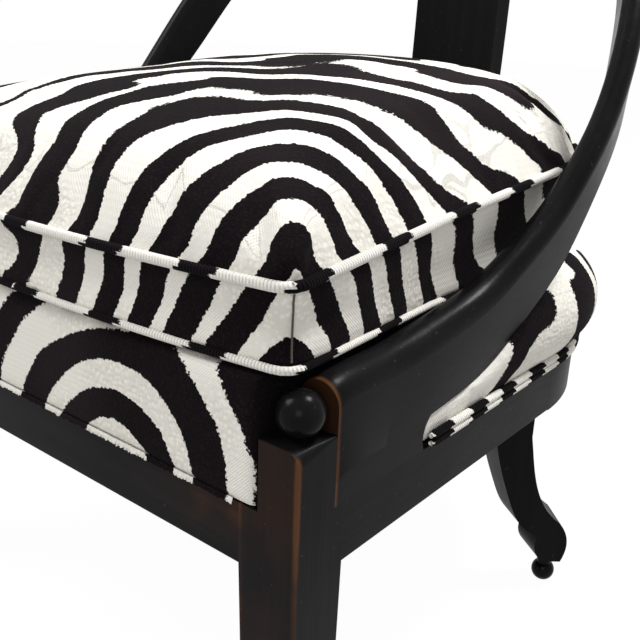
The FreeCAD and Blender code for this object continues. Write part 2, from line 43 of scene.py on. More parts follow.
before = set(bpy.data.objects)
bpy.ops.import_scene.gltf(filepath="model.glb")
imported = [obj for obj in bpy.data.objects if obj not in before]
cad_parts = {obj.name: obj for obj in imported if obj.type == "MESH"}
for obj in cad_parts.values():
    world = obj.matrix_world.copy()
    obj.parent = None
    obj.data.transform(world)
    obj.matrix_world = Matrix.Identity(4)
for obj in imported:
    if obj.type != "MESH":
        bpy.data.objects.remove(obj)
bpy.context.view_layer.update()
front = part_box("front_rail")[0].y
deck_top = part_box("deck_cover")[1].z

RAW_WOOD = [
    "corner_block_right", "corner_block_left", "leg_dowels_right", "leg_dowels_left",
    "rail_dowels_right", "rail_dowels_left", "arm_dowels_right", "arm_dowels_left", "middle_dowels",
]
SCREWS = ["leg_screws_right", "leg_screws_left", "block_screw_right", "block_screw_left"]
GLIDES = ["front_glide_right", "front_glide_left"]


class ChairSizes(bpy.types.PropertyGroup):
    """Sizes of the soft pieces, which follow the solids of the frame."""

    half_width: bpy.props.FloatProperty(
        name="Half width", description="Half the width over the seat rails", default=0.27, unit="LENGTH")
    side_straight: bpy.props.FloatProperty(
        name="Straight side", description="Straight run of the side before the back corner",
        default=0.356, unit="LENGTH")
    corner_radius: bpy.props.FloatProperty(
        name="Back corner", description="Radius of the plan at the back corners",
        default=0.207, unit="LENGTH")
    corner_turn: bpy.props.FloatProperty(
        name="Corner turn", description="Turn of the back corner before the wide back arc",
        default=math.radians(50), subtype="ANGLE")
    crown: bpy.props.FloatProperty(
        name="Crown", description="Rise of the cushion's top before it is filled",
        default=0.031, unit="LENGTH")
    fill_cap: bpy.props.FloatProperty(
        name="Fill cap", description="Furthest that filling may push the cover",
        default=0.015, unit="LENGTH")
    welt: bpy.props.FloatProperty(
        name="Welt radius", description="Radius of the cushion's piping", default=0.0036, unit="LENGTH")
    double_welt: bpy.props.FloatProperty(
        name="Double welt radius", description="Radius of each rib of the deck's double piping",
        default=0.0033, unit="LENGTH")


class ChairColours(bpy.types.PropertyGroup):
    """Colours of the finishes."""

    lacquer: bpy.props.FloatVectorProperty(
        name="Lacquer", description="Black lacquer", subtype="COLOR", default=(0.0048, 0.0047, 0.0052))
    rubbed: bpy.props.FloatVectorProperty(
        name="Rubbed edge", description="Brown wood that shows at worn edges", subtype="COLOR",
        default=(0.085, 0.034, 0.014))
    ivory: bpy.props.FloatVectorProperty(
        name="Ivory ground", description="Woven ground of the zebra cloth", subtype="COLOR",
        default=(0.84, 0.815, 0.755))
    pile: bpy.props.FloatVectorProperty(
        name="Black pile", description="Cut pile of the zebra cloth", subtype="COLOR",
        default=(0.0042, 0.0032, 0.0039))
    raw_wood: bpy.props.FloatVectorProperty(
        name="Raw wood", description="Unfinished wood of blocks and dowels", subtype="COLOR",
        default=(0.48, 0.33, 0.2))
    jute: bpy.props.FloatVectorProperty(
        name="Jute", description="Seat webbing", subtype="COLOR", default=(0.36, 0.27, 0.15))
    cambric: bpy.props.FloatVectorProperty(
        name="Cambric", description="Dust cover under the seat", subtype="COLOR",
        default=(0.012, 0.012, 0.013))


def sizes():
    return bpy.context.scene.chair_sizes


def colours():
    return bpy.context.scene.chair_colours


class Sock:
    """A shader socket that can be used in expressions of numbers."""

    def __init__(self, tree, socket):
        self.tree = tree
        self.socket = socket

    def maths(self, operation, *values):
        return self.tree.node("ShaderNodeMath", {"operation": operation}, list(values))

    def __add__(self, other):
        return self.maths("ADD", self, other)

    def __radd__(self, other):
        return self.maths("ADD", other, self)

    def __sub__(self, other):
        return self.maths("SUBTRACT", self, other)

    def __rsub__(self, other):
        return self.maths("SUBTRACT", other, self)

    def __mul__(self, other):
        return self.maths("MULTIPLY", self, other)

    def __rmul__(self, other):
        return self.maths("MULTIPLY", other, self)

    def __truediv__(self, other):
        return self.maths("DIVIDE", self, other)

    def __rtruediv__(self, other):
        return self.maths("DIVIDE", other, self)

    def __pow__(self, other):
        return self.maths("POWER", self, other)

    def __abs__(self):
        return self.maths("ABSOLUTE", self)

    def sin(self):
        return self.maths("SINE", self)

    def sqrt(self):
        return self.maths("SQRT", self)

    def low(self, other):
        return self.maths("MINIMUM", self, other)

    def step(self, start, end):
        """Smooth step from 0 at start to 1 at end."""
        return self.tree.node("ShaderNodeMapRange", {"interpolation_type": "SMOOTHSTEP"},
                              {"Value": self, "From Min": start, "From Max": end}, "Result")

    def out(self, name):
        return Sock(self.tree, self.socket.node.outputs[name])


class Finish:
    """The node tree of a material or of the world."""

    def __init__(self, owner):
        self.owner = owner
        owner.use_nodes = True
        self.nodes = owner.node_tree.nodes
        self.links = owner.node_tree.links
        self.shader = self.nodes.get("Principled BSDF")

    def node(self, kind, settings=None, values=None, output=0):
        """Adds a node of a kind, sets it up, and links or sets its sockets."""
        made = self.nodes.new(kind)
        for key, value in (settings or {}).items():
            setattr(made, key, value)
        pairs = values.items() if isinstance(values, dict) else enumerate(values or [])
        for key, value in pairs:
            self.put(made.inputs[key], value)
        return Sock(self, made.outputs[output])

    def put(self, socket, value):
        """Links a socket to another one, or sets its value."""
        if isinstance(value, Sock):
            self.links.new(value.socket, socket)
        elif socket.type == "RGBA":
            socket.default_value = (*value[:3], 1.0)
        else:
            socket.default_value = value

    def set(self, **values):
        """Feeds the shader's sockets by name."""
        for key, value in values.items():
            self.put(self.shader.inputs[key.replace("_", " ")], value)

    def place(self):
        """Object coordinates, as a vector and as three numbers."""
        point = self.node("ShaderNodeTexCoord", output="Object")
        split = self.node("ShaderNodeSeparateXYZ", {}, [point])
        return point, split.out("X"), split.out("Y"), split.out("Z")

    def noise(self, vector, scale, detail=2.0, rough=0.5):
        return self.node("ShaderNodeTexNoise", {}, {
            "Vector": vector, "Scale": scale, "Detail": detail, "Roughness": rough})

    def stretched(self, vector, scale):
        return self.node("ShaderNodeVectorMath", {"operation": "MULTIPLY"}, [vector, scale])

    def mix(self, factor, a, b):
        """Colour between a and b, on the colour sockets of a Mix node."""
        return self.node("ShaderNodeMix", {"data_type": "RGBA"}, {0: factor, 6: a, 7: b}, 2)

    def bump(self, height, strength, distance):
        self.set(Normal=self.node("ShaderNodeBump", {}, {
            "Height": height, "Strength": strength, "Distance": distance}, "Normal"))


def lacquer(name, grain, wear=None, gloss=0.3):
    """Black lacquer on wood with a grain direction, and a worn place given by a function."""
    f = Finish(bpy.data.materials.new(name))
    point, x, y, z = f.place()
    long_grain = f.noise(f.stretched(point, grain), 1.0, 3.0, 0.6)
    pores = f.noise(f.stretched(point, [4.0 * g for g in grain]), 1.0, 2.0, 0.55)
    cloud = f.noise(point, 9.0, 3.0)
    specks = f.noise(point, 260.0, 1.0).step(0.735, 0.78)
    base = f.mix(long_grain.step(0.4, 0.75) * 0.5, colours().lacquer, [1.9 * c for c in colours().lacquer])
    if wear:
        patchy = 0.25 + 1.6 * cloud.step(0.4, 0.62)
        amount = (wear(x, y, z) * (0.3 + 1.4 * long_grain) * patchy).low(1.0)
        base = f.mix(amount, base, colours().rubbed)
    base = f.mix(specks * 0.22, base, (0.12, 0.1, 0.085))
    f.set(Base_Color=base, Roughness=gloss + 0.12 * cloud.step(0.3, 0.75) + 0.14 * (pores - 0.5))
    f.set(Specular_IOR_Level=0.04, Coat_Weight=0.02, Coat_Roughness=0.14)
    f.bump(long_grain * 0.5 + pores, 0.35, 0.00025)
    return f.owner


def near(value, place, reach):
    """1 at a place, falling to 0 at reach from it."""
    return 1.0 - abs(value - place).step(0.0, reach)


def leg_wear(x, y, z):
    """Rubbed front edges and faint streaks of the front legs."""
    lo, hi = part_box("front_leg_right")
    side = abs(x)
    arris = near(side, hi.x, 0.0045) * near(y, lo.y, 0.004)
    inner = near(side, lo.x, 0.004) * near(y, lo.y, 0.004) * 0.5
    streaks = near(y, lo.y, 0.002) * 0.09
    return arris * 1.1 + inner + streaks


def rail_wear(x, y, z):
    """Rubbed ends and lower edge of the front rail."""
    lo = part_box("front_rail")[0]
    patch = abs(x).step(0.1, 0.22) * near(y, lo.y, 0.002) * near(z, lo.z + 0.03, 0.03)
    return patch * 0.4 + near(z, lo.z, 0.003) * 0.3


def arm_wear(x, y, z):
    """Rubbed rim of the arms' front ends."""
    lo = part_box("arm_right")[0]
    rim = near(y, lo.y, 0.0035) * (y - lo.y).step(0.0, 0.0006)
    return rim * 0.9 + near(y, lo.y, 0.001) * 0.25


def cushion_stripes(x, y, z):
    """Running distance across the cushion's stripes, in metres from its right front corner."""
    cx, cy, slant, level = 0.254, front + 0.012, 0.55, 0.41
    reach = ((x - cx) ** 2.0 + (y - cy) ** 2.0).sqrt()
    return reach + slant * (z - level).low(0.0)


def deck_stripes(x, y, z):
    """Running distance across the deck's stripes, in metres from a point low on its front."""
    cx, cy, level = 0.1, front + 0.01, 0.235
    reach = ((x - cx) ** 2.0 + (y - cy) ** 2.0 + ((z - level) * 1.1) ** 2.0).sqrt()
    return reach - (y - front).step(0.05, 0.2) * (z - level) * 0.9


def zebra(name, stripes, wave, pile_share):
    """Zebra cloth: black cut pile with ragged edges on an ivory basket weave."""
    f = Finish(bpy.data.materials.new(name))
    point, x, y, z = f.place()
    reach = stripes(x, y, z)
    patches = f.noise(point, 5.0, 1.0)
    broad = patches - 0.5
    bend = f.noise(point, 15.0, 1.0) - 0.5
    far = reach.step(0.06, 0.42)
    run = reach - 0.002 + broad * (0.035 + 0.2 * far) + bend * 0.03 * (0.25 + far)
    swell = f.noise(point, 8.0, 1.0)
    split_run = (swell.step(0.46, 0.62) - 0.5) * reach.step(0.16, 0.26)
    run = run + split_run * wave * 0.45
    width = (f.noise(point, 7.0, 0.0) - 0.5) * (0.8 + 0.9 * far)
    phase = run * (math.tau / wave) / (1.0 + 0.45 * far)
    ragged = (f.noise(point, 420.0, 1.0) - 0.5) * 0.55 + (f.noise(point, 130.0, 1.0) - 0.5) * 0.3
    stripe = phase.sin() + width * 2.2 + pile_share + ragged
    black = stripe.step(-0.05, 0.05)
    normal = f.node("ShaderNodeTexCoord", output="Normal")
    split = f.node("ShaderNodeSeparateXYZ", {}, [normal])
    flat = abs(split.out("Z")).step(0.65, 0.67)
    facing = abs(split.out("X")).step(0.65, 0.67)
    across = x * (1.0 - facing) + y * facing
    along = y * flat + z * (1.0 - flat)
    thread = math.tau / 0.0023
    weave = (across * thread).sin() * (along * thread).sin()
    rib = (along * thread * 0.5).sin()
    loops = f.node("ShaderNodeTexVoronoi", {}, {"Vector": point, "Scale": 260.0}, "Distance")
    looped = swell.step(0.44, 0.56)
    tufts = f.noise(point, 520.0, 1.0, 0.7)
    ground_height = weave * 0.22 * (1.0 - looped) + rib * 0.08 + loops * 0.9 * looped
    height = ground_height * (1.0 - black) + black * (0.7 + tufts * 0.9)
    # Painted shade: the ivory ground is darkened in the hollows of the weave and between the loops
    gap_shade = weave.step(-0.2, -1.0) * (1.0 - looped) * 0.3 + loops.step(0.25, 0.5) * looped * 0.28
    ivory = colours().ivory
    ground = f.mix(gap_shade + 0.18 * tufts, ivory, [c * s for c, s in zip(ivory, (0.62, 0.59, 0.54))])
    pile = colours().pile
    dark = f.mix(tufts.step(0.45, 0.75), pile, [c * s for c, s in zip(pile, (2.6, 2.1, 2.3))])
    # Painted sheen: patches of the black pile are lightened to a purple-brown, and made a little glossier
    # there
    nap_sheen = patches.step(0.5, 0.72)
    dark = f.mix(nap_sheen * 0.55, dark, (0.016, 0.0105, 0.0125))
    f.set(Base_Color=f.mix(black, ground, dark), Roughness=0.93 - 0.1 * black * nap_sheen)
    f.set(Specular_IOR_Level=0.04, Sheen_Weight=0.01, Sheen_Roughness=0.5)
    f.bump(height, 0.6, 0.0011)
    return f.owner


def welt_cloth(name, wave=0.085, ivory_share=0.4):
    """Ribbed piping cut on the bias from the same cloth, with its length in the UV map."""
    f = Finish(bpy.data.materials.new(name))
    uv = f.node("ShaderNodeTexCoord", output="UV")
    split = f.node("ShaderNodeSeparateXYZ", {}, [uv])
    run, turn = split.out("X"), split.out("Y")
    point = f.place()[0]
    drift = f.noise(point, 8.0, 1.0) - 0.5
    ragged = (f.noise(point, 450.0, 1.0) - 0.5) * 0.5
    stripe = ((run + turn * 0.006) * (math.tau / wave) + drift * 3.0).sin() - ivory_share + ragged
    black = stripe.step(-0.06, 0.06)
    rib = (run * (math.tau / 0.0024) + turn * math.tau).sin()
    fuzz = f.noise(point, 700.0, 2.0, 0.7)
    ivory = colours().ivory
    # Painted shade: the ivory is darkened in the grooves between the ribs
    ground = f.mix(rib.step(0.2, -1.0) * 0.4, ivory, [c * 0.55 for c in ivory])
    f.set(Base_Color=f.mix(black, ground, colours().pile), Roughness=0.92)
    f.set(Specular_IOR_Level=0.04, Sheen_Weight=0.01)
    f.bump(rib * 0.5 + fuzz * (0.3 + 0.9 * black), 0.7, 0.0009)
    return f.owner


def plain_cloth(name, colour, thread, strength=0.5):
    """Plain woven cloth."""
    f = Finish(bpy.data.materials.new(name))
    point, x, y = f.place()[:3]
    turn = math.tau / thread
    weave = (x * turn).sin() * (y * turn).sin()
    slub = f.noise(point, 140.0, 2.0)
    # Random slubs darken the cloth, and painted shade darkens the hollows of the weave
    f.set(Base_Color=f.mix(slub * 0.6 + weave.step(-0.2, -1.0) * 0.4, colour, [0.5 * c for c in colour]))
    f.set(Roughness=0.85 + 0.1 * slub)
    f.bump(weave + slub, strength, 0.0006)
    return f.owner


def raw_wood(name, grain):
    """Unfinished hardwood with a grain direction."""
    f = Finish(bpy.data.materials.new(name))
    point = f.place()[0]
    fibre = f.noise(f.stretched(point, grain), 1.0, 4.0, 0.6)
    tone = colours().raw_wood
    f.set(Base_Color=f.mix(fibre.step(0.3, 0.75), tone, [0.55 * c for c in tone]))
    f.set(Roughness=0.6 + 0.2 * fibre)
    f.bump(fibre, 0.4, 0.0004)
    return f.owner


def hardware(name, colour, metallic, rough):
    """Metal or plastic of small fittings, with a little grime."""
    f = Finish(bpy.data.materials.new(name))
    point = f.place()[0]
    grime = f.noise(point, 90.0, 3.0)
    f.set(Base_Color=f.mix(grime.step(0.45, 0.8), colour, [0.6 * c for c in colour]), Metallic=metallic)
    f.set(Roughness=rough + 0.2 * grime)
    f.bump(grime, 0.15, 0.0003)
    return f.owner


def dress(nodes, material):
    """Gives one finish to pieces that keep their solids' shapes."""
    for name in nodes:
        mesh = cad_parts[name].data
        mesh.materials.clear()
        mesh.materials.append(material)


def piece(name, verts, faces, material, body, smooth=True):
    """A new piece of the dressed chair, riding on a body."""
    mesh = bpy.data.meshes.new(name)
    mesh.from_pydata([tuple(v) for v in verts], [], faces)
    mesh.update()
    mesh.materials.append(material)
    for face in mesh.polygons:
        face.use_smooth = smooth
    made = bpy.data.objects.new(name, mesh)
    bpy.context.scene.collection.objects.link(made)
    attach(made, body)
    return made


def tube(name, path, radius, material, body, closed, sides=12, tip=0.55):
    """Round piping along points, narrowed at open ends, with its run in metres in the UV map."""
    path = [Vector(p) for p in path]
    count = len(path)
    verts = []
    runs = [0.0]
    for i in range(count):
        after = path[(i + 1) % count] if closed else path[min(i + 1, count - 1)]
        before = path[i - 1] if closed else path[max(i - 1, 0)]
        ahead = (after - before).normalized()
        out = ahead.cross(Vector((0, 0, 1))).normalized()
        up = out.cross(ahead)
        end = tip if not closed and i in (0, count - 1) else 1.0
        for k in range(sides):
            a = math.tau * k / sides
            verts.append(path[i] + (out * math.cos(a) + up * math.sin(a)) * radius * end)
        runs.append(runs[-1] + (after - path[i]).length)
    faces = []
    uvs = []
    for i in range(count if closed else count - 1):
        j = (i + 1) % count
        for k in range(sides):
            m = (k + 1) % sides
            faces.append((i * sides + k, i * sides + m, j * sides + m, j * sides + k))
            uvs.append([(runs[i], k / sides), (runs[i], (k + 1) / sides),
                        (runs[i + 1], (k + 1) / sides), (runs[i + 1], k / sides)])
    if not closed:
        for ring in (0, count - 1):
            cap = [ring * sides + k for k in range(sides)]
            faces.append(tuple(reversed(cap)) if ring else tuple(cap))
            uvs.append([(runs[ring], 0.0)] * sides)
    made = piece(name, verts, faces, material, body)
    layer = made.data.uv_layers.new(name="run")
    for face, corners in zip(made.data.polygons, uvs):
        for loop, uv in zip(face.loop_indices, corners):
            layer.data[loop].uv = uv
    return made


def back_arc():
    """Centre and radius of the wide arc at the back of the plan."""
    s = sizes()
    reach = (s.half_width - s.corner_radius) / math.cos(s.corner_turn)
    return s.side_straight - reach * math.sin(s.corner_turn), s.corner_radius + reach


def half_plan(offset, steps=24):
    """Right half of the back of the plan, from the end of the straight side to the middle."""
    s = sizes()
    centre, radius = back_arc()
    points = []
    for i in range(steps + 1):
        a = s.corner_turn * i / steps
        points.append((s.half_width - s.corner_radius + (s.corner_radius + offset) * math.cos(a),
                       s.side_straight + (s.corner_radius + offset) * math.sin(a)))
    for i in range(1, steps + 1):
        a = s.corner_turn + (math.pi / 2 - s.corner_turn) * i / steps
        points.append(((radius + offset) * math.cos(a), centre + (radius + offset) * math.sin(a)))
    return points


# Plan and clearance of the cushion in metres, its slope to the back, and the points round each ring
CUSHION_MIDDLE = np.array([0.0, front + 0.29])
CUSHION_TILT = 0.075
FLARE_DEPTH = 0.178
FRONT_SETBACK, FRONT_BOW, CORNER_ROUND = 0.006, 0.015, 0.012
DECK_GAP = 0.0006
AROUND = 300


def seat_plan(side, flare, back, front_y, bow, corner, count):
    """Even points round the cushion's plan from the middle of its front, y from the front rail's face."""
    front_steps, corner_steps = 24, 8
    s = sizes()
    wide = s.half_width + side + flare
    half = wide - corner
    radius = (half * half + bow * bow) / (2 * bow)
    turn = math.asin(half / radius)
    points = []
    for i in range(front_steps + 1):
        a = turn * i / front_steps
        points.append((radius * math.sin(a), front_y - bow + radius * (1 - math.cos(a))))
    for i in range(1, corner_steps + 1):
        a = -math.pi / 2 + math.pi / 2 * i / corner_steps
        points.append((half + corner * math.cos(a), front_y + corner + corner * math.sin(a)))
    points.append((s.half_width + side, FLARE_DEPTH))
    points += half_plan(back)
    points += [(-x, y) for x, y in reversed(points[1:-1])]
    ring = np.array(points + [points[0]])
    run = np.concatenate([[0.0], np.cumsum(np.hypot(*np.diff(ring, axis=0).T))])
    even = np.linspace(0.0, run[-1], count, endpoint=False)
    return np.stack([np.interp(even, run, ring[:, 0]), np.interp(even, run, ring[:, 1])], axis=1)


BOTTOM_WELT, TOP_WELT = 1, 3
# Height, side, flare and back of each level in metres, and its rise to the back as a slope
CUSHION_LEVELS = np.array([
    (0.0, -0.039, 0.01, -0.036, 0.0),
    (0.005, -0.029, 0.0105, -0.027, 0.0),
    (0.029, -0.032, 0.01, -0.03, 0.02),
    (0.057, -0.021, 0.006, -0.022, CUSHION_TILT),
    (0.075, -0.022, 0.006, -0.018, CUSHION_TILT),
    (0.091, -0.036, 0.004, -0.028, CUSHION_TILT),
])
# Rings of the base and the crown as shares of the way, and of the side counted in levels
BASE_PLACES = (0.15, 0.35, 0.6, 0.82)
SIDE_PLACES = (0.5, 1.0, 1.25, 1.5, 1.75, 2.0, 2.2, 2.4, 2.6, 2.8,
               3.0, 3.25, 3.5, 3.75, 4.0, 4.35, 4.7, 5.0)
CROWN_PLACES = (0.04, 0.09, 0.14, 0.2, 0.26, 0.33, 0.4, 0.48, 0.56, 0.64, 0.72, 0.8, 0.87, 0.93)


def cushion_ring(place):
    """Ring of the cushion's side at a place counted in levels."""
    table = CUSHION_LEVELS
    i = min(int(place), len(table) - 2)
    t = place - i
    p0, p1, p2 = table[max(i - 1, 0)], table[i], table[i + 1]
    p3 = table[min(i + 2, len(table) - 1)]
    height, side, flare, back, rise = 0.5 * (
        2 * p1 + (p2 - p0) * t + (2 * p0 - 5 * p1 + 4 * p2 - p3) * t * t
        + (3 * p1 - p0 - 3 * p2 + p3) * t ** 3)
    welt = table[TOP_WELT]
    front_y = FRONT_SETBACK + welt[1] + welt[2] - side - flare
    corner = CORNER_ROUND + 0.25 * max(0.0, welt[1] - side)
    ring = seat_plan(side, flare, back, front_y, FRONT_BOW, corner, AROUND)
    z = deck_top + DECK_GAP + height + ring[:, 1] * rise
    return np.column_stack([ring[:, 0], ring[:, 1] + front, z])


def cushion_grid():
    """Points and faces of the closed cushion and the ring numbers of its two welts."""
    middle = CUSHION_MIDDLE
    rings = []
    base = cushion_ring(0.0)
    for t in BASE_PLACES:
        ring = base.copy()
        ring[:, :2] = middle + (base[:, :2] - middle) * t
        rings.append(ring)
    rings.append(base)
    welts = []
    for place in SIDE_PLACES:
        if place in (BOTTOM_WELT, TOP_WELT):
            welts.append(len(rings))
        rings.append(cushion_ring(place))
    edge = rings[-1]
    top = edge[:, 2] - (edge[:, 1] - front) * CUSHION_TILT
    for t in CROWN_PLACES:
        ring = edge.copy()
        ring[:, :2] = middle + (edge[:, :2] - middle) * (1 - t)
        ring[:, 2] = top + sizes().crown * (1 - (1 - t) ** 2.8) + (ring[:, 1] - front) * CUSHION_TILT
        rings.append(ring)
    verts = np.concatenate(rings)
    faces = []
    for r in range(len(rings) - 1):
        for k in range(AROUND):
            m = (k + 1) % AROUND
            faces.append((r * AROUND + k, r * AROUND + m, (r + 1) * AROUND + m, (r + 1) * AROUND + k))
    low = len(verts)
    verts = np.concatenate([verts, [[*middle, base[:, 2].mean()]], [[*middle, rings[-1][:, 2].max()]]])
    last = (len(rings) - 1) * AROUND
    for k in range(AROUND):
        m = (k + 1) % AROUND
        faces.append((low, m, k))
        faces.append((low + 1, last + k, last + m))
    return verts, faces, welts, len(rings)


def fill(made, pinned, cap):
    """Swells a cover by pressure, holds its pinned points and caps how far a point may go."""
    mesh = made.data
    rest = np.empty(len(mesh.vertices) * 3)
    mesh.vertices.foreach_get("co", rest)
    rest = rest.reshape(-1, 3)
    group = made.vertex_groups.new(name="held")
    group.add(pinned, 1.0, "REPLACE")
    cloth = made.modifiers.new("filling", "CLOTH")
    cloth.settings.quality = 4
    cloth.settings.use_pressure = True
    cloth.settings.uniform_pressure_force = 4.0
    cloth.settings.shrink_min = -0.012
    cloth.settings.tension_stiffness = 20.0
    cloth.settings.bending_stiffness = 0.8
    cloth.settings.effector_weights.gravity = 0.0
    cloth.settings.vertex_group_mass = "held"
    cloth.settings.pin_stiffness = 1.0
    cloth.collision_settings.use_collision = False
    scene = bpy.context.scene
    for number in range(1, 21):
        scene.frame_set(number)
    held = made.evaluated_get(bpy.context.evaluated_depsgraph_get())
    moved = np.empty(len(mesh.vertices) * 3)
    held.to_mesh().vertices.foreach_get("co", moved)
    held.to_mesh_clear()
    step = moved.reshape(-1, 3) - rest
    made.modifiers.remove(cloth)
    scene.frame_set(1)
    far = np.maximum(np.linalg.norm(step, axis=1, keepdims=True), 1e-9)
    return rest, step * np.minimum(1.0, cap / far)


class CHAIR_OT_wood(bpy.types.Operator):
    """Lacquers the show wood and finishes the hidden wood, screws and glides"""

    bl_idname = "chair.wood"
    bl_label = "Finish the frame"

    def execute(self, context):
        upright, side, cross, board = (90, 90, 5), (90, 5, 90), (5, 90, 90), (60, 8, 26)
        dress(["front_leg_right", "front_leg_left"], lacquer("leg_lacquer", upright, leg_wear, 0.36))
        dress(["front_rail"], lacquer("front_rail_lacquer", cross, rail_wear, 0.4))
        dress(["side_rail_right", "side_rail_left"], lacquer("side_rail_lacquer", side, None, 0.38))
        dress(["arm_right", "arm_left"], lacquer("arm_lacquer", board, arm_wear, 0.25))
        dress(["back_rail_right", "back_rail_left"], lacquer("back_rail_lacquer", cross, None, 0.38))
        dress(["crest_rail"], lacquer("crest_lacquer", cross, None, 0.34))
        dress(["splat"], lacquer("splat_lacquer", upright, None, 0.36))
        dress(["rear_leg_right", "rear_leg_left"], lacquer("rear_leg_lacquer", upright, None, 0.33))
        turned = ["arm_ball_right", "arm_ball_left", "rear_ball_foot_right", "rear_ball_foot_left"]
        dress(turned, lacquer("turned_lacquer", (40, 40, 40), None, 0.16))
        dress(RAW_WOOD, raw_wood("raw_hardwood", (60, 12, 60)))
        dress(SCREWS, hardware("zinc_screws", (0.55, 0.54, 0.52), 1.0, 0.3))
        dress(GLIDES, hardware("glide_plastic", (0.03, 0.03, 0.03), 0.0, 0.5))
        return {"FINISHED"}


class CHAIR_OT_cushion(bpy.types.Operator):
    """Makes the loose box cushion with its piping, corner seams and zip"""

    bl_idname = "chair.cushion"
    bl_label = "Make the cushion"

    def execute(self, context):
        verts, faces, welts, count = cushion_grid()
        cloth = zebra("zebra_cushion", cushion_stripes, 0.037, 0.16)
        cover = piece("cushion", verts, faces, cloth, "cushion")
        shape = self.filled(cover, welts, count)
        cover.data.vertices.foreach_set("co", shape.ravel())
        cover.data.update()
        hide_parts("cushion_cover", "cushion_core")
        smooth = cover.modifiers.new("smooth", "SUBSURF")
        smooth.levels = smooth.render_levels = 1
        rings = shape[:count * AROUND].reshape(count, AROUND, 3)
        self.piping(rings, welts)
        self.seams(rings, welts)
        self.zipper(rings, welts)
        return {"FINISHED"}

    def filled(self, cover, welts, count):
        """Points of the swelled cover, with its base and welts held and its sides kept close."""
        side_reach, crown_reach = 0.0022, 0.02
        under = len(BASE_PLACES) + 1
        pinned = [ring * AROUND + k for ring in (*range(under), *welts) for k in range(AROUND)]
        rest, step = fill(cover, [*pinned, count * AROUND], sizes().fill_cap)
        ring = np.minimum(np.arange(len(rest)) // AROUND, count)
        step[ring < under] = 0.0
        side = (ring >= under) & (ring < count - len(CROWN_PLACES))
        out = rest[:, :2] - CUSHION_MIDDLE
        out /= np.maximum(np.linalg.norm(out, axis=1, keepdims=True), 1e-9)
        outward = np.sum(step[:, :2] * out, axis=1)
        limit = np.where(side, side_reach, crown_reach)
        step[:, :2] -= out * np.maximum(outward - limit, 0.0)[:, None]
        return rest + step

    def piping(self, rings, welts):
        """Piping round the top and the bottom edge of the cushion's side."""
        cloth = welt_cloth("zebra_piping")
        proud = 0.0018
        for name, ring, node, size in (("cushion_top_piping", welts[1], "cushion_top_welt", 1.0),
                                       ("cushion_bottom_piping", welts[0], "cushion_bottom_welt", 0.75)):
            path = rings[ring].copy()
            out = path[:, :2] - CUSHION_MIDDLE
            path[:, :2] += out / np.linalg.norm(out, axis=1, keepdims=True) * proud
            made = tube(name, path, sizes().welt * size, cloth, "cushion", True)
            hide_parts(node)

    def seams(self, rings, welts):
        """Upright seams at the two front corners of the cushion's side."""
        thread = plain_cloth("seam_thread", (0.1, 0.08, 0.065), 0.0012)
        radius, proud, waver, sides = 0.0007, 0.0006, 0.0005, 6
        wide = np.argmax(rings[welts[1]][:, 0] - rings[welts[1]][:, 1])
        for name, column, hand in (("seam_right", wide, 1), ("seam_left", AROUND - wide, -1)):
            verts, faces = [], []
            for i, ring in enumerate(range(welts[0] + 1, welts[1])):
                p = Vector(rings[ring][column]) + Vector((hand * proud, -proud, 0))
                wobble = waver * noise.noise(p * 300)
                for k in range(sides):
                    a = math.tau * k / sides
                    verts.append(p + Vector((math.cos(a) * radius + wobble, math.sin(a) * radius, 0)))
                    if i:
                        low, high, m = (i - 1) * sides, i * sides, (k + 1) % sides
                        faces.append((low + k, low + m, high + m, high + k))
            piece(name, verts, faces, thread, "cushion")

    def zipper(self, rings, welts):
        """Zip tape and teeth along the back of the cushion's side."""
        tape = plain_cloth("zip_tape", (0.42, 0.39, 0.33), 0.001)
        teeth = hardware("zip_teeth", (0.35, 0.33, 0.3), 0.6, 0.35)
        back, reach, above_welt = AROUND // 2, 42, 4
        path = []
        for point in rings[welts[0] + above_welt][back - reach:back + reach + 1]:
            out = Vector((point[0], point[1] - CUSHION_MIDDLE[1], 0)).normalized()
            path.append((Vector(point), out))
        half, slope, proud, sunk = 0.006, 0.0005, 0.0012, -0.0006
        section = ((-half, sunk), (slope - half, proud), (half - slope, proud), (half, sunk))
        verts, faces = [], []
        for i, (p, out) in enumerate(path):
            for dz, stand in section:
                verts.append(p + out * stand + Vector((0, 0, dz)))
            if i:
                for k in range(3):
                    faces.append((i * 4 - 4 + k, i * 4 + k, i * 4 + k + 1, i * 4 - 3 + k))
        band = piece("zip_tape", verts, faces, tape, "cushion")
        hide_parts("cushion_zipper")
        verts, faces = [], []
        tooth, stop = (0.00096, 0.00066, 0.0021, 0.0016), (0.0036, 0.0012, 0.0032, 0.0022)
        sides = ((0, 1, 3, 2), (4, 6, 7, 5), (0, 4, 5, 1), (2, 3, 7, 6), (0, 2, 6, 4), (1, 5, 7, 3))
        for i, (p, out) in enumerate(path):
            length, depth, height, stand = tooth if 1 < i < len(path) - 2 else stop
            ahead = Vector((out.y, -out.x, 0))
            start = len(verts)
            for a in (-length, length):
                for b in (stand - depth, stand + depth):
                    for c in (-height, height):
                        verts.append(p + ahead * a + out * b + Vector((0, 0, c)))
            faces += [tuple(start + n for n in side) for side in sides]
        piece("zip_teeth", verts, faces, teeth, "cushion", False)


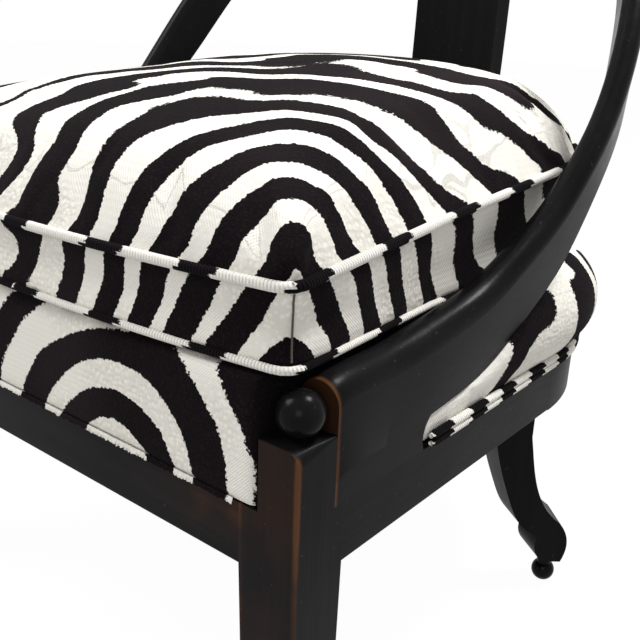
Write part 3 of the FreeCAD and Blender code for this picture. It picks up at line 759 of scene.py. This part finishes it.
class CHAIR_OT_deck(bpy.types.Operator):
    """Makes the tight upholstered deck, its double piping and the raw edge above the front rail"""

    bl_idname = "chair.deck"
    bl_label = "Make the deck"

    def execute(self, context):
        cloth = zebra("zebra_deck", deck_stripes, 0.044, 0.05)
        joined = bmesh.new()
        for node in ("deck_cover", "deck_stuffing"):
            joined.from_mesh(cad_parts[node].data)
        mesh = bpy.data.meshes.new("deck")
        joined.to_mesh(mesh)
        joined.free()
        made = bpy.data.objects.new("deck", mesh)
        context.scene.collection.objects.link(made)
        remesh = made.modifiers.new("remesh", "REMESH")
        remesh.mode = "VOXEL"
        remesh.voxel_size = 0.004
        relax = made.modifiers.new("relax", "SMOOTH")
        relax.factor = 0.5
        relax.iterations = 6
        held = made.evaluated_get(context.evaluated_depsgraph_get())
        shaped = bpy.data.meshes.new_from_object(held)
        made.modifiers.clear()
        made.data = shaped
        shaped.materials.clear()
        shaped.materials.append(cloth)
        for face in shaped.polygons:
            face.use_smooth = True
        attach(made, "frame")
        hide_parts("deck_cover", "deck_stuffing")
        self.piping()
        self.raw_edge(cloth)
        return {"FINISHED"}

    def piping(self):
        """Two ribs of piping along the rail, open at the front legs."""
        s = sizes()
        proud = 0.0015
        cloth = welt_cloth("zebra_double_piping", 0.052, 0.05)
        lo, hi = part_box("double_welt")
        for number in range(2):
            z = lo.z + (hi.z - lo.z) * (0.25 + 0.5 * number)
            straight = np.linspace(lo.y - front, s.side_straight, 40)[:-1]
            half = [(s.half_width + proud, y) for y in straight] + half_plan(proud, 50)
            path = half + [(-x, y) for x, y in reversed(half[:-1])]
            made = tube(f"deck_piping_{number + 1}", [(x, y + front, z) for x, y in path],
                        s.double_welt, cloth, "frame", False)
            if number == 0:
                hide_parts("double_welt")

    def raw_edge(self, cloth):
        """Short loose threads along the cut edge of the front panel."""
        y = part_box("deck_cover")[0].y
        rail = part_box("front_rail")[1].z
        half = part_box("front_leg_right")[0].x - 0.003
        top, root = rail + 0.0035, rail + 0.0015
        count, wide = 330, 0.0009
        sides = ((0, 1, 2, 3), (1, 4, 5, 2), (4, 0, 3, 5))
        verts, faces = [], []
        for i in range(count):
            x = -half + 2 * half * (i + 0.5) / count
            tip = root - 0.0015 - 0.0028 * abs(noise.noise(Vector((x * 310, 1.7, 0))))
            lean = 0.0012 * noise.noise(Vector((x * 170, 5.1, 0)))
            start = len(verts)
            verts += [(x - wide, y + 0.0006, top), (x + wide, y + 0.0006, top),
                      (x + wide * 0.5 + lean, y - 0.0004, tip), (x - wide * 0.5 + lean, y - 0.0004, tip),
                      (x, y + 0.0016, top), (x + lean, y + 0.0006, tip)]
            faces += [tuple(start + n for n in side) for side in sides]
        piece("deck_raw_edge", verts, faces, cloth, "frame", False)


class CHAIR_OT_underside(bpy.types.Operator):
    """Makes the webbing and the dust cover under the seat"""

    bl_idname = "chair.underside"
    bl_label = "Make the underside"

    def execute(self, context):
        jute = plain_cloth("jute_webbing", colours().jute, 0.003, 0.8)
        ripple, rib = 0.0005, 0.0125
        for node, across in (("webbing_long", 0), ("webbing_cross", 1)):
            made = self.copied(node, node + "_straps", jute, "webbing", 24)
            for v in made.data.vertices:
                v.co.z += ripple * math.sin(v.co[across] * math.tau / rib)
            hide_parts(node)
        cambric = plain_cloth("black_cambric", colours().cambric, 0.0012, 0.4)
        made = self.copied("dust_cover", "dust_cloth", cambric, "dust_cloth", 30)
        lo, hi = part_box("dust_cover")
        sag, crease = 0.001, 0.0006
        for v in made.data.vertices:
            u = (v.co.x - lo.x) / (hi.x - lo.x)
            w = (v.co.y - lo.y) / (hi.y - lo.y)
            belly = max(0.0, 16 * u * (1 - u) * w * (1 - w))
            v.co.z += belly * (crease * noise.noise(v.co * 26) - sag)
        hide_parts("dust_cover")
        return {"FINISHED"}

    def copied(self, node, name, cloth, slot_name, cuts):
        """A piece with a node's shape, cut into a grid that can be bent."""
        shape = bmesh.new()
        shape.from_mesh(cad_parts[node].data)
        lo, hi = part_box(node)
        for axis in (0, 1):
            for i in range(1, cuts):
                place = Vector((0, 0, 0))
                place[axis] = lo[axis] + (hi[axis] - lo[axis]) * i / cuts
                normal = Vector((0, 0, 0))
                normal[axis] = 1.0
                bmesh.ops.bisect_plane(shape, geom=shape.verts[:] + shape.edges[:] + shape.faces[:],
                                       plane_co=place, plane_no=normal)
        mesh = bpy.data.meshes.new(name)
        shape.to_mesh(mesh)
        shape.free()
        mesh.materials.clear()
        mesh.materials.append(cloth)
        made = bpy.data.objects.new(name, mesh)
        bpy.context.scene.collection.objects.link(made)
        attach(made, "frame")
        return made


class CHAIR_OT_stage(bpy.types.Operator):
    """Sets the pale floor, the soft studio light and the camera"""

    bl_idname = "chair.stage"
    bl_label = "Set the stage"

    def execute(self, context):
        scene = context.scene
        scene.view_settings.view_transform = "Standard"
        self.floor()
        self.world(scene)
        self.lamp("key", (-1.3, -1.2, 2.1), (0, 0, 0.4), 1.0, 40)
        self.lamp("top", (0.75, 0.75, 2.3), (0.1, 0, 0.4), 0.6, 58)
        self.lamp("front", (1.3, -2.1, 1.3), (0, 0, 0.35), 0.9, 11)
        self.camera(scene)
        return {"FINISHED"}

    def seen(self, f):
        """1 for rays of the camera, of reflections and through glass."""
        path = f.node("ShaderNodeLightPath", output="Is Camera Ray")
        return (path + path.out("Is Glossy Ray") + path.out("Is Transmission Ray")).low(1.0)

    def floor(self):
        """Pale floor that looks white and keeps a little of the shadow."""
        f = Finish(bpy.data.materials.new("pale_floor"))
        f.set(Base_Color=(0.55, 0.55, 0.55), Roughness=0.8)
        glow = f.node("ShaderNodeEmission", {}, {"Color": (1.0, 1.0, 1.0), "Strength": 1.045})
        both = f.node("ShaderNodeMixShader", {}, [self.seen(f) * 0.93, Sock(f, f.shader.outputs[0]), glow])
        f.links.new(both.socket, f.nodes["Material Output"].inputs["Surface"])
        size = 12.0
        corners = [(-size, -size, 0), (size, -size, 0), (size, size, 0), (-size, size, 0)]
        mesh = bpy.data.meshes.new("floor")
        mesh.from_pydata(corners, [], [(0, 1, 2, 3)])
        mesh.materials.append(f.owner)
        made = bpy.data.objects.new("floor", mesh)
        bpy.context.scene.collection.objects.link(made)

    def world(self, scene):
        """Soft light from all round, which looks white itself."""
        f = Finish(bpy.data.worlds.new("studio"))
        scene.world = f.owner
        soft = f.node("ShaderNodeBackground", {}, {"Color": (1.0, 1.0, 1.0), "Strength": 0.3})
        white = f.node("ShaderNodeBackground", {}, {"Color": (1.0, 1.0, 1.0), "Strength": 1.0})
        both = f.node("ShaderNodeMixShader", {}, [self.seen(f), soft, white])
        f.links.new(both.socket, f.nodes["World Output"].inputs["Surface"])

    def lamp(self, name, place, aim, size, power):
        """Square soft lamp that faces a point."""
        data = bpy.data.lights.new(name, "AREA")
        data.shape = "SQUARE"
        data.size = size
        data.energy = power
        made = bpy.data.objects.new(name, data)
        made.location = place
        made.rotation_euler = (Vector(aim) - Vector(place)).to_track_quat("-Z", "Y").to_euler()
        bpy.context.scene.collection.objects.link(made)

    def camera(self, scene):
        """Camera at the photograph's place and angle."""
        place = (0.5453, front - 0.3328, 0.5408)
        pan, tilt, roll = 0.6707, 0.3425, 0.0387
        focal_pixels, photo_width = 850, 640
        ahead = Vector((-math.sin(pan) * math.cos(tilt), math.cos(pan) * math.cos(tilt), -math.sin(tilt)))
        level = Vector((math.cos(pan), math.sin(pan), 0))
        rise = level.cross(ahead)
        right = level * math.cos(roll) + rise * math.sin(roll)
        up = rise * math.cos(roll) - level * math.sin(roll)
        data = bpy.data.cameras.new("view")
        data.sensor_width = 36.0
        data.lens = data.sensor_width * focal_pixels / photo_width
        made = bpy.data.objects.new("view", data)
        turn = Matrix((right, up, -ahead)).transposed().to_4x4()
        made.matrix_world = Matrix.Translation(place) @ turn
        scene.collection.objects.link(made)
        scene.camera = made


OPERATORS = [CHAIR_OT_wood, CHAIR_OT_cushion, CHAIR_OT_deck, CHAIR_OT_underside, CHAIR_OT_stage]


class CHAIR_PT_panel(bpy.types.Panel):
    """Lists the steps that dress the chair"""

    bl_label = "Chair"
    bl_idname = "CHAIR_PT_panel"
    bl_space_type = "VIEW_3D"
    bl_region_type = "UI"
    bl_category = "Chair"

    def draw(self, context):
        for group in (context.scene.chair_sizes, context.scene.chair_colours):
            box = self.layout.box()
            for key in group.__annotations__:
                box.prop(group, key)
        for operator in OPERATORS:
            self.layout.operator(operator.bl_idname)


CLASSES = [ChairSizes, ChairColours, *OPERATORS, CHAIR_PT_panel]


def register():
    for item in CLASSES:
        bpy.utils.register_class(item)
    bpy.types.Scene.chair_sizes = bpy.props.PointerProperty(type=ChairSizes)
    bpy.types.Scene.chair_colours = bpy.props.PointerProperty(type=ChairColours)


def unregister():
    del bpy.types.Scene.chair_sizes
    del bpy.types.Scene.chair_colours
    for item in reversed(CLASSES):
        bpy.utils.unregister_class(item)


def main():
    register()
    bpy.ops.chair.wood()
    bpy.ops.chair.cushion()
    bpy.ops.chair.deck()
    bpy.ops.chair.underside()
    bpy.ops.chair.stage()


if __name__ == "__main__":
    main()
